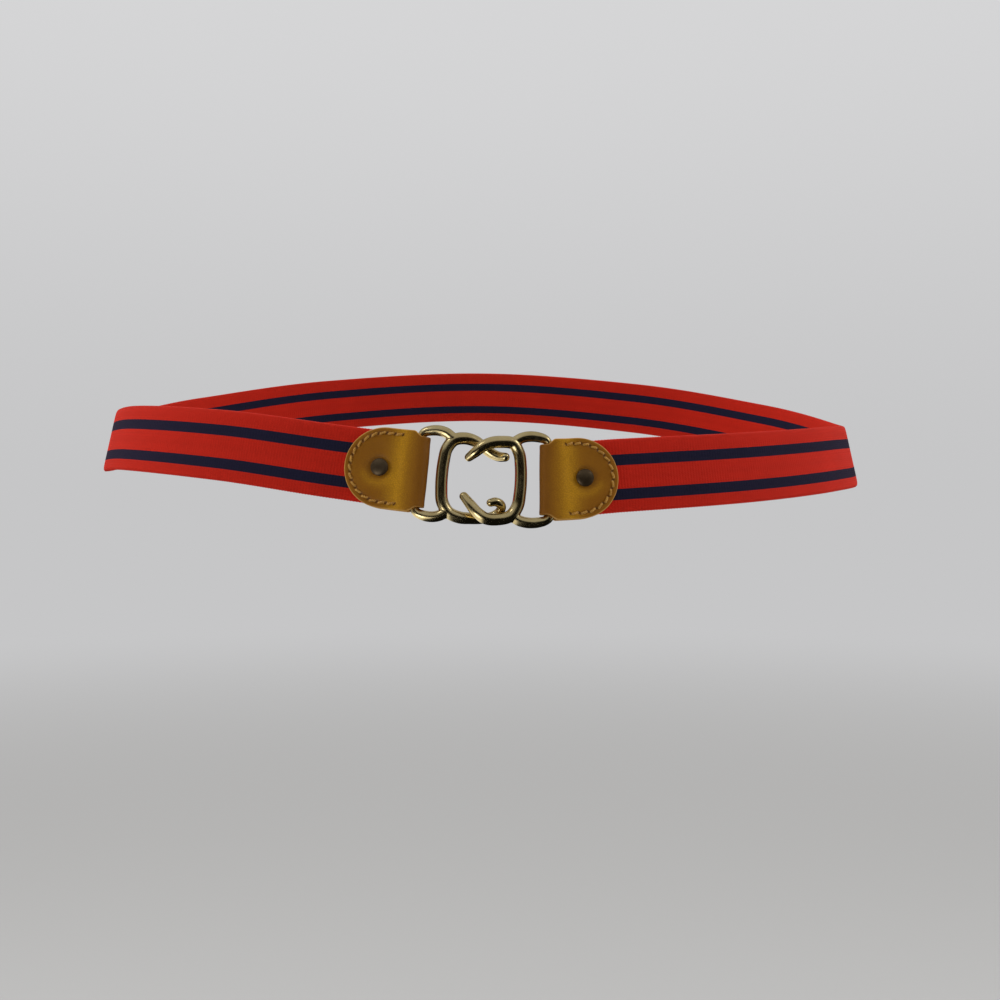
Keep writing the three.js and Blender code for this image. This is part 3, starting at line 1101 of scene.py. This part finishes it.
def leather_points(end):
    """Points, faces and the numbers kept for the finish, of one tab on the bench."""
    side, bar = end["side"], end["bar"]
    run, across, inset = strip_grid(bar)
    step = 0.02 * mm
    along, out = strip_line(run, bar)
    along_after, out_after = strip_line(run + step, bar)
    along_before, out_before = strip_line(run - step, bar)
    way_along, way_out = along_after - along_before, out_after - out_before
    length = np.hypot(way_along, way_out)
    normal_along, normal_out = -way_out / length, way_along / length

    number, in_seam = seam_places(bar, along, across)
    relief = leather_relief_at(end, along, across, inset, number, in_seam)
    rounded = np.clip(1 - inset / edge_rounding, 0, 1)
    half = tab_thickness / 2 * np.cbrt(1 - rounded**3)
    front = smooth_step(0, quarter_fold, run)
    lift = front_lift(end, along, across) * front

    layers = []
    for height in (lift + half + relief, lift - half):
        x = side * (along + height * normal_along)
        layers.append(rows_from(x, -(out + height * normal_out), across).reshape(-1, 3))
    outer = ring_faces(*inset.shape)
    faces = np.concatenate([outer, outer[:, ::-1] + inset.size])

    # This pale mask is a painted highlight: the ramp past the bar and the lower side of the rivet's
    # ring are lightened.
    from_rivet = np.hypot(along - end["rivet"], across)
    ring = highlight_ring_share * hill(from_rivet, highlight_ring_radius, highlight_ring_width)
    rubbed = hill(along, bar + highlight_past_bar, highlight_width) * front
    rubbed += ring * smooth_step(0, highlight_below, -across)
    kept = {
        "seam": rows_from(number, inset - seam_inset, in_seam).reshape(-1, 3),
        "edge_distance": inset.ravel(),
        # fold says where the leather turns round the bar, which the finish paints darker as shade
        "fold": 1 - smooth_step(fold_shade_from, fold_shade_to, np.abs(run)).ravel(),
        "rubbed": np.clip(rubbed, 0, 1).ravel(),
    }
    return np.concatenate(layers), faces[:, ::side], kept


tabs = {}
for name, end in ends.items():
    points, faces, kept = leather_points(end)
    tab = new_piece(f"tan_tab_{name}", points, faces)
    for key, values in kept.items():
        point_value(tab, key, np.concatenate([values, values]))
    tabs[name] = lay_piece(tab, leather_material)

# %% [markdown]
# ## One stitch
#
# A seam is the same stitch repeated along a path, which is what instances are for. One stitch is
# drawn as two twisted plies that dive into the leather at both ends. Each ply is a round tube
# through a few rings, and the same function draws the clasp's bars later.

# %% Round tubes, and the stitch made of two
thread_ply_radius = 0.24 * mm
thread_ply_offset = 0.17 * mm
thread_sides = 8
stitch_rings = 19
stitch_length = 2.1 * mm
stitch_rise = 0.42 * mm
stitch_sink = 0.35 * mm
stitch_twists = 1.5
end_closeness = 0.98
nearly_upright = 0.1


def full_turn(count):
    """Angles at even steps once round."""
    return np.linspace(0, math.tau, count, endpoint=False)


def tube(centres, radii, sides):
    """Points and faces of a closed round tube through given centres."""
    ways = unit(np.gradient(centres, axis=0))
    first = np.cross(ways[0], [0.0, 0.0, 1.0])
    if np.linalg.norm(first) < nearly_upright:
        first = np.cross(ways[0], [0.0, 1.0, 0.0])
    across_way = unit(first)
    turns = full_turn(sides)
    rings = []
    for centre, way, radius in zip(centres, ways, radii):
        across_way = unit(across_way - np.dot(across_way, way) * way)
        other_way = np.cross(way, across_way)
        round_way = np.outer(np.cos(turns), across_way) + np.outer(np.sin(turns), other_way)
        rings.append(centre + radius * round_way)
    last = (len(rings) - 1) * sides
    caps = range(sides)[::-1], range(last, last + sides)
    return np.concatenate(rings), [*ring_faces(len(rings), sides), *caps]


def joined_parts(parts):
    """Several sets of points and faces as one."""
    points, faces, count = [], [], 0
    for part_points, part_faces in parts:
        points.append(part_points)
        faces += [[count + i for i in face] for face in part_faces]
        count += len(part_points)
    return np.concatenate(points), faces


stitch_share = np.linspace(-1, 1, stitch_rings)
stitch_curve = np.sqrt(1 - end_closeness * stitch_share**2)
stitch_arch = (stitch_rise + stitch_sink) * stitch_curve - stitch_sink
stitch_plies = []
for start_turn in (0, math.pi):
    ply_turn = start_turn + stitch_twists * math.pi * stitch_share
    ply_across = thread_ply_offset * np.cos(ply_turn)
    ply_up = thread_ply_offset * np.sin(ply_turn) + stitch_arch
    centres = rows_from(stitch_share * stitch_length / 2, ply_across, ply_up)
    stitch_plies.append(tube(centres, np.full(len(centres), thread_ply_radius), thread_sides))
one_stitch = new_piece("one_stitch", *joined_parts(stitch_plies))
print(f"one stitch: {triangle_count(one_stitch)} triangles")

# %% [markdown]
# ## The seams
#
# A node tree sets the stitch out along the seam of each leaf, turned a little to the seam as a
# lockstitch lies, makes the copies real and lays them along the belt with the rest. The path is
# a chain of points, and each carries the way that its leaf faces. A Random Value node has
# sockets for each kind of number too, so those for a plain number are picked by their place.

# %% The tree that sets out a seam
def build_seam_tree():
    tree, given, result = new_piece_tree(
        "seam of stitches",
        {"Stitch": "Object", "Count": "Int", "Slant": "Float", "Unevenness": "Float", "Seed": "Int"},
    )
    stitch = add_node(tree, "GeometryNodeObjectInfo", given["Stitch"])
    path = add_node(tree, "GeometryNodeMeshToCurve", given["Geometry"])[0]
    spots = add_node(tree, "GeometryNodeCurveToPoints", path, given["Count"], mode="COUNT")
    face_way = named_vector(tree, "face_way")
    jitter = add_node(tree, "FunctionNodeRandomValue", Seed=given["Seed"], data_type="FLOAT")
    lowest, highest, number = 2, 3, 1
    fill(jitter.node, {lowest: -1.0, highest: 1.0})
    slant = jitter[number] * given["Unevenness"] + given["Slant"]
    beside = vector_calc("CROSS_PRODUCT", face_way, spots["Tangent"])
    slanted = vector_calc("SCALE", beside, Scale=slant)
    turn = add_node(
        tree,
        "FunctionNodeAxesToRotation",
        Primary_Axis=vector_calc("ADD", spots["Tangent"], slanted),
        Secondary_Axis=face_way,
        primary_axis="X",
        secondary_axis="Z",
    )
    copies = add_node(
        tree,
        "GeometryNodeInstanceOnPoints",
        spots["Points"],
        Instance=stitch["Geometry"],
        Rotation=turn[0],
    )
    real = add_node(tree, "GeometryNodeRealizeInstances", copies[0])
    return end_tree(real[0], given, result)


seam_tree = build_seam_tree()

# %% [markdown]
# ## Where the seams run
#
# On both leaves the seam goes up one side, round the outer end and down the other side, a fixed
# way in from the edge. It is filled with a whole number of stitches, and the thread lies a
# little lower than the leather's face, in the groove that it has drawn.

# %% Stitch rows on both leaves of each tab
path_points = 160
thread_bed = 0.13 * mm


def seam_path(end):
    """Middles of the first to the last stitch along both leaves' seams, on the bench."""
    length, stitches = seam_count(end["bar"])
    half = length / 2 * (1 - 1 / stitches)
    run = np.linspace(-half, half, path_points)
    seam_radius = tab_end_radius - seam_inset
    turn = np.clip(run / seam_radius, -math.pi / 2, math.pi / 2)
    straight_left = np.maximum(np.abs(run) - seam_radius * math.pi / 2, 0)
    along = tab_end_middle + seam_radius * np.cos(turn) - straight_left
    across = seam_radius * np.sin(turn)
    paths, ways = [], []
    for face in (1, -1):
        lift = front_lift(end, along, across) if face > 0 else 0
        out = face * (leaf_out + tab_thickness / 2 - thread_bed + lift)
        paths.append(rows_from(end["side"] * along, -out, across))
        ways.append(np.tile([0.0, -face, 0.0], (len(run), 1)))
    return np.concatenate(paths), np.concatenate(ways), stitches


stitch_rows = {}
for name, end in ends.items():
    points, ways, stitches = seam_path(end)
    links = chain_links(len(points), broken_after=path_points - 1)
    row = new_piece(f"tab_stitches_{name}", points, edges=links)
    point_value(row, "face_way", ways)
    stitch_rows[name] = run_tree(
        row,
        seam_tree,
        Stitch=one_stitch,
        Count=stitches,
        Slant=0.3,
        Unevenness=0.06,
        Seed=3 + stitches,
        Material=thread_material,
    )
    print(f"{name} tab: {2 * stitches} stitches")

# %% [markdown]
# ## The rivets
#
# A rivet is turned, so its half section says everything: a domed cap with a rolled rim, a post
# through leather and webbing, and a flat cap behind. The section is spun round the post's axis.

# %% Turned rivets
rivet_seat = leaf_out + tab_thickness / 2 + 0.12 * mm
cap_rim = 0.35 * mm
cap_height = 1.4 * mm
dome_fullness = 0.92
post_radius = 1.3 * mm
back_height = 0.8 * mm
back_flat_radius = 2.4 * mm
spin_steps = 96
dome_steps = 26
back_steps = 10


def quarter(steps):
    """Sines and cosines of a quarter turn."""
    turns = np.linspace(0, math.pi / 2, steps)
    return np.sin(turns), np.cos(turns)


def rivet_section():
    """Radius and out along the rivet's half section, from the back's middle to the front's."""
    sine, cosine = quarter(dome_steps)
    dome_out = rivet_seat + cap_rim + (cap_height - cap_rim) * sine**dome_fullness
    dome = rows_from(cap_radius * cosine, dome_out)
    sine, cosine = quarter(back_steps)
    back_radius = back_flat_radius + (cap_radius - back_flat_radius) * sine
    back_out = -rivet_seat - cap_rim - (back_height - cap_rim) * cosine
    back = rows_from(back_radius, back_out)
    rolled = [
        (cap_radius - 0.16 * mm, rivet_seat),
        (cap_radius - 0.05 * mm, rivet_seat + 0.04 * mm),
        (cap_radius, rivet_seat + 0.14 * mm),
    ]
    inner_rolled = [(radius, -out) for radius, out in reversed(rolled)]
    post = [(post_radius, -rivet_seat), (post_radius, rivet_seat)]
    back_middle = [(radius, -rivet_seat - back_height) for radius in (0.0, back_flat_radius / 2)]
    return np.array([*back_middle, *back, *inner_rolled, *post, *rolled, *dome])


def spun(section, along, side):
    """The section turned once round an axis that points out, at a place along the belt."""
    turns = full_turn(spin_steps)
    radius, out = section[:, :1], np.repeat(section[:, 1:], spin_steps, axis=1)
    x = side * along + radius * np.cos(turns)
    points = rows_from(x, -out, radius * np.sin(turns))
    return points.reshape(-1, 3), ring_faces(len(section), spin_steps)


rivets = {}
for name, end in ends.items():
    rivet = new_piece(f"capped_rivet_{name}", *spun(rivet_section(), end["rivet"], end["side"]))
    rivets[name] = lay_piece(rivet, rivet_material)

# %% [markdown]
# ## The clasp's lines
#
# Each half is one casting: a ring that goes through the leather's fold, and a loop whose two
# arms hook round the other half. Both were shaped like bent wire, so each is a few rows of
# places, along, across and out, with the bar's radius. The right half's arms pass in front, and
# the left half is the same idea turned half round about its upright axis.
#
# A ring's along is a share of the way from its start to the bar in the leather, because the two
# bars lie at different places.

# %% Rows of places for rings, backs and arms
ring_start = 10.9 * mm
lower_reach = 1.06

ring_rows = [
    (1, 0 * mm, 1.5 * mm),
    (1, 8 * mm, 1.5 * mm),
    (1, 12.4 * mm, 1.5 * mm),
    (0.9, 13.8 * mm, 1.6 * mm),
    (0.66, 14.6 * mm, 1.8 * mm),
    (0.42, 14.7 * mm, 1.85 * mm),
    (0.2, 14.1 * mm, 1.85 * mm),
    (0, 12.7 * mm, 1.85 * mm),
]
back_rows = np.array([
    (13.4, 0, 0, 2.1), (13.2, 4.6, 0, 2.1), (12.5, 8.8, 0, 2.1), (10.2, 12, 0.3, 2.1),
]) * mm
arm_rows = {
    "left": {
        "upper": np.array([
            (6.4, 12.9, 1, 2.1), (2.9, 12.2, 1.9, 2.05), (-0.3, 10.3, 2.2, 1.95),
            (-3.2, 8.4, 1.9, 1.85), (-5.8, 7.4, 0.8, 1.7), (-7.7, 7.2, -0.7, 1.55),
        ]) * mm,
        "lower": np.array([
            (6.4, -14.1, 1, 2.1), (2.8, -14.1, 1.9, 2), (-0.4, -13.9, 2.5, 1.9),
            (-3.2, -13.4, 2.9, 1.7), (-5.4, -12.4, 2.9, 1.6), (-6.9, -11, 2.2, 1.55),
            (-7.3, -9.6, 0.8, 1.55), (-6.5, -8.6, -0.6, 1.55), (-5, -8.2, -1.5, 1.5),
            (-3.6, -8.6, -1.9, 1.4),
        ]) * mm,
    },
    "right": {
        "upper": np.array([
            (5.6, 12.2, 1.3, 2.1), (2.5, 11.6, 2, 2.05), (-0.2, 10.2, 2.15, 1.95),
            (-2.6, 8.1, 1.8, 1.8), (-4.7, 6.4, 0.6, 1.5),
        ]) * mm,
        "lower": np.array([
            (5.6, -14.1, 1.3, 2.1), (2.3, -14, 2, 2.05), (-0.4, -12.4, 2.2, 1.95),
            (-3, -9.7, 1.8, 1.8), (-5.4, -7, 0.8, 1.5),
        ]) * mm,
    },
}
print(f"bars {2000 * back_rows[0, 3]:.1f} mm thick at the back of each loop")

# %% [markdown]
# ## Bending the bars
#
# A curve through the rows has to bend evenly where they lie unevenly, and not loop at the tight
# hooks. A centripetal curve does both, and it is then cut into even steps for the tube. The
# ends are half round, like a filed wire's.

# %% Round bars along bent rows
row_steps = 40
cap_turn = math.radians(84)
cap_rings = 8
clasp_step = 0.3 * mm


def bent_line(rows, step):
    """Places and radii on a centripetal curve through rows of along, across, out, radius."""
    knots = np.concatenate([[2 * rows[0] - rows[1]], rows, [2 * rows[-1] - rows[-2]]])
    pieces = []
    for x0, x1, x2, x3 in zip(knots, knots[1:], knots[2:], knots[3:]):
        gaps = (x1 - x0, x2 - x1, x3 - x2)
        before, here, beyond = (math.sqrt(np.linalg.norm(gap[:3])) for gap in gaps)
        slope_1 = ((x1 - x0) / before - (x2 - x0) / (before + here) + (x2 - x1) / here) * here
        slope_2 = ((x2 - x1) / here - (x3 - x1) / (here + beyond) + (x3 - x2) / beyond) * here
        t = np.linspace(0, 1, row_steps + 1)[:-1, None]
        cubic = 2 * x1 - 2 * x2 + slope_1 + slope_2
        square = 3 * x2 - 3 * x1 - 2 * slope_1 - slope_2
        piece = x1 + slope_1 * t + square * t**2 + cubic * t**3
        piece[:, 3:] = x1[3:] + (x2[3:] - x1[3:]) * t
        pieces.append(piece)
    fine = np.concatenate([*pieces, [rows[-1]]])
    reach = np.concatenate([[0], np.cumsum(np.linalg.norm(np.diff(fine[:, :3], axis=0), axis=1))])
    even = np.linspace(0, reach[-1], 1 + round(reach[-1] / step))
    return np.stack([np.interp(even, reach, column) for column in fine.T], axis=-1)


def half_round(place, radius, way):
    """Rings of a half-round end beyond the last place of a bar."""
    turns = np.linspace(0, cap_turn, cap_rings + 1)[1:]
    return [(*(place + way * radius * math.sin(t)), radius * math.cos(t)) for t in turns]


def wire(rows, step, sides):
    """A round bar along bent rows, with half-round ends."""
    line = bent_line(rows, step)
    ways = unit(np.gradient(line[:, :3], axis=0))
    start = half_round(line[0, :3], line[0, 3], -ways[0])
    finish = half_round(line[-1, :3], line[-1, 3], ways[-1])
    whole = np.array([*start[::-1], *line, *finish])
    return tube(whole[:, :3], whole[:, 3], sides)


print("points along one arm:", len(bent_line(arm_rows["right"]["upper"], clasp_step)))

# %% [markdown]
# ## Casting the halves
#
# Where ring and loop meet, a casting has no sharp inner corner. The tubes are therefore melted
# into one skin on a fine lattice and smoothed a little, which rounds the corners as the wax
# pattern did and leaves no faces inside.

# %% Clasp halves
clasp_sides = 40
clasp_lattice = 0.15 * mm
smoothing_share = 0.5
smoothing_rounds = 10


def lowered(rows, factor=1.0):
    """The same rows mirrored to the lower half."""
    return rows * np.array([1, -factor, 1, 1])


def clasp_parts(end, arms):
    """The ring and the hooked loop of one half, in the half's own space."""
    upper = np.array([
        (ring_start + (end["bar"] - ring_start) * reach, across, 0, radius)
        for reach, across, radius in ring_rows
    ])
    ring = np.concatenate([lowered(upper[1:])[::-1], upper])
    lower_back = lowered(back_rows[1:], lower_reach)[::-1]
    hooks = np.concatenate([arms["lower"][::-1], lower_back, back_rows, arms["upper"]])
    return [wire(rows, clasp_step, clasp_sides) for rows in (ring, hooks)]


def cast(piece):
    """Melts a piece's tubes into one skin with rounded corners."""
    melt = piece.modifiers.new("melt", "REMESH")
    melt.mode = "VOXEL"
    melt.voxel_size = clasp_lattice
    melt.use_smooth_shade = True
    soften = piece.modifiers.new("soften", "SMOOTH")
    soften.factor = smoothing_share
    soften.iterations = smoothing_rounds
    return settle(piece)


clasps = {}
for name, end in ends.items():
    points, faces = joined_parts(clasp_parts(end, arm_rows[name]))
    along, across, out = points.T
    bench = rows_from(end["side"] * along, -end["side"] * out, across)
    clasp = cast(new_piece(f"hook_clasp_{name}", bench, faces))
    clasps[name] = lay_piece(clasp, clasp_material)

# %% [markdown]
# ## Which piece stands for which solid
#
# Nothing on a closed belt moves, so every piece rides on the one body. Each takes the place of
# its solid, which is hidden. The webbing's flat cut is as wide as the strap and as long as the
# part between the two folds.

# %% Pieces and the solids they stand for
for helper in (belt_line, one_stitch):
    bpy.data.objects.remove(helper)

dressed = {"striped_webbing": (webbing, ["webbing"], "webbing")}
for name in ends:
    dressed[f"tab_{name}"] = (tabs[name], [f"leather_tab_{name}"], "leather")
    dressed[f"seam_{name}"] = (stitch_rows[name], [], "leather")
    dressed[f"rivet_{name}"] = (rivets[name], [f"rivet_{name}"], "rivet_metal")
    dressed[f"clasp_{name}"] = (clasps[name], [f"clasp_half_{name}"], "clasp_metal")

for piece, nodes, slot in dressed.values():
    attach(piece, "root")
    if nodes:
        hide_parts(*nodes)

print("pieces:", ", ".join(sorted(piece.name for piece, _, _ in dressed.values())))

# %% [markdown]
# ## The floor
#
# The belt hangs in the air in its closed form. The pale floor lies well below and runs into the
# backdrop's tone with distance, so no line crosses the picture behind the strap.

# %% Pale floor
backdrop_tone = colour(198, 198, 199)
upper_tone = colour(214, 214, 215)
floor_tone = colour(184, 184, 184)
floor_drop = 0.55
floor_radius = 9.0
floor_sides = 128
fade_from = 1.1
fade_to = 4.5


def build_floor():
    turns = full_turn(floor_sides)
    rim = rows_from(floor_radius * np.cos(turns), floor_radius * np.sin(turns), -floor_drop)
    material = bpy.data.materials.new("pale_floor")
    material.use_nodes = True
    tree = material.node_tree
    tree.nodes.clear()
    distance = add_node(tree, "ShaderNodeVectorMath", object_place(tree), operation="LENGTH")
    fade = remap(distance["Value"], fade_from, fade_to)
    matte = add_node(tree, "ShaderNodeBsdfDiffuse", Color=floor_tone)[0]
    glow = add_node(tree, "ShaderNodeEmission", Color=backdrop_tone)[0]
    both = add_node(tree, "ShaderNodeMixShader", fade, matte, glow)[0]
    add_node(tree, "ShaderNodeOutputMaterial", Surface=both)
    return new_piece("floor", rim, [tuple(range(len(rim)))], material=material)


floor = build_floor()
floor.visible_glossy = False
print(f"floor {floor_drop * 1000:.0f} mm below the clasp")

# %% [markdown]
# ## The light
#
# The light is a large soft surround, bright at the back, the sides and above, and dim in front
# where the room is. That is what brightens the strap towards its sides.
#
# What gloss mirrors is set apart from what lights matt surfaces. Overhead, beside, and low on
# the left the room is light, and straight ahead and below it is dark, which gives the round
# bars of the clasp their pale upper halves, dark cores and bright lower corners. A span names
# the directions over which one kind of light fades into the next.

# %% Soft surround
surround_strength = 1.25
surround_tint = (1.0, 0.99, 0.975, 1.0)
front_share = 0.015
behind_span = (-0.6, 0.15)
upward_span = (-0.45, 0.6)
upward_light = (0.12, 1.1)
mirrored_behind = 0.3
mirrored_behind_span = (-0.2, 0.4)
mirrored_front = 0.006
mirrored_overhead = 0.42
overhead_span = (0.24, 0.5)
mirrored_beside = 0.34
beside_span = (0.78, 0.97)
mirrored_corner = 1.1
corner_span = (0.9, 0.98)
corner_reach = (0.1, 0.4)
seen_span = (0.0, 0.45)


def build_surround():
    world = bpy.data.worlds.new("studio")
    bpy.context.scene.world = world
    world.use_nodes = True
    tree = world.node_tree
    tree.nodes.clear()
    towards = split(add_node(tree, "ShaderNodeTexCoord")["Generated"])
    level, upward = towards["X"], towards["Z"]
    behind = remap(towards["Y"], *behind_span, front_share, 1.0)
    matt_light = behind * remap(upward, *upward_span, *upward_light) * surround_strength

    slanting = (level + upward) * -math.sqrt(0.5)
    aside = calc("SQRT", level * level + upward * upward)
    corner = remap(aside, *corner_reach, 0.0, mirrored_corner)
    mirrored = behind * remap(upward, *mirrored_behind_span, 0.0, mirrored_behind)
    for part in (
        remap(upward, *overhead_span, mirrored_front, mirrored_overhead),
        remap(calc("ABSOLUTE", level), *beside_span, 0.0, mirrored_beside),
        remap(slanting / aside, *corner_span) * corner,
    ):
        mirrored = calc("MAXIMUM", mirrored, part)

    path = add_node(tree, "ShaderNodeLightPath")
    light = path["Is Glossy Ray"] * (mirrored - matt_light) + matt_light
    seen_tone = mix(remap(upward, *seen_span), backdrop_tone, upper_tone)
    soft = add_node(tree, "ShaderNodeBackground", Color=surround_tint, Strength=light)[0]
    seen = add_node(tree, "ShaderNodeBackground", Color=seen_tone)[0]
    both = add_node(tree, "ShaderNodeMixShader", path["Is Camera Ray"], soft, seen)[0]
    add_node(tree, "ShaderNodeOutputWorld", Surface=both)


build_surround()
bpy.context.scene.view_settings.view_transform = "Standard"
print("the world is:", bpy.context.scene.world.name)

# %% [markdown]
# ## Soft panels
#
# Six square panels add what the surround is too even to give. One in front and one at each side
# light matt surfaces only. Two small ones above light everything, and one low on the left shows
# in the gloss only.

# %% Soft panels
def soft_panel(name, place, size, watts, mirrored=True, matt=True):
    """A square area light that faces the clasp. Gloss or matt surfaces may be left out."""
    light = bpy.data.lights.new(name, "AREA")
    light.shape = "SQUARE"
    light.size = size
    light.energy = watts
    panel = bpy.data.objects.new(name, light)
    panel.location = place
    aim = Vector((0, -loop_half_depth, 0)) - Vector(place)
    panel.rotation_euler = aim.to_track_quat("-Z", "Y").to_euler()
    panel.visible_glossy = mirrored
    panel.visible_diffuse = matt
    panel.visible_camera = False
    bpy.context.scene.collection.objects.link(panel)


soft_panel("fill", (0, -1.4, 0.5), size=1.2, watts=2.7, mirrored=False)
soft_panel("side_left", (-1.2, -0.15, 0.3), size=1.0, watts=7.5, mirrored=False)
soft_panel("side_right", (1.2, -0.15, 0.3), size=1.0, watts=6.0, mirrored=False)
soft_panel("panel_above_left", (-0.6, -0.5, 0.9), size=0.25, watts=0.7)
soft_panel("panel_above_right", (0.8, -0.4, 0.6), size=0.25, watts=0.6)
soft_panel("panel_low_left", (-0.5, -0.75, -0.4), size=0.3, watts=1.0, matt=False)
print("lights:", len(bpy.data.lights))
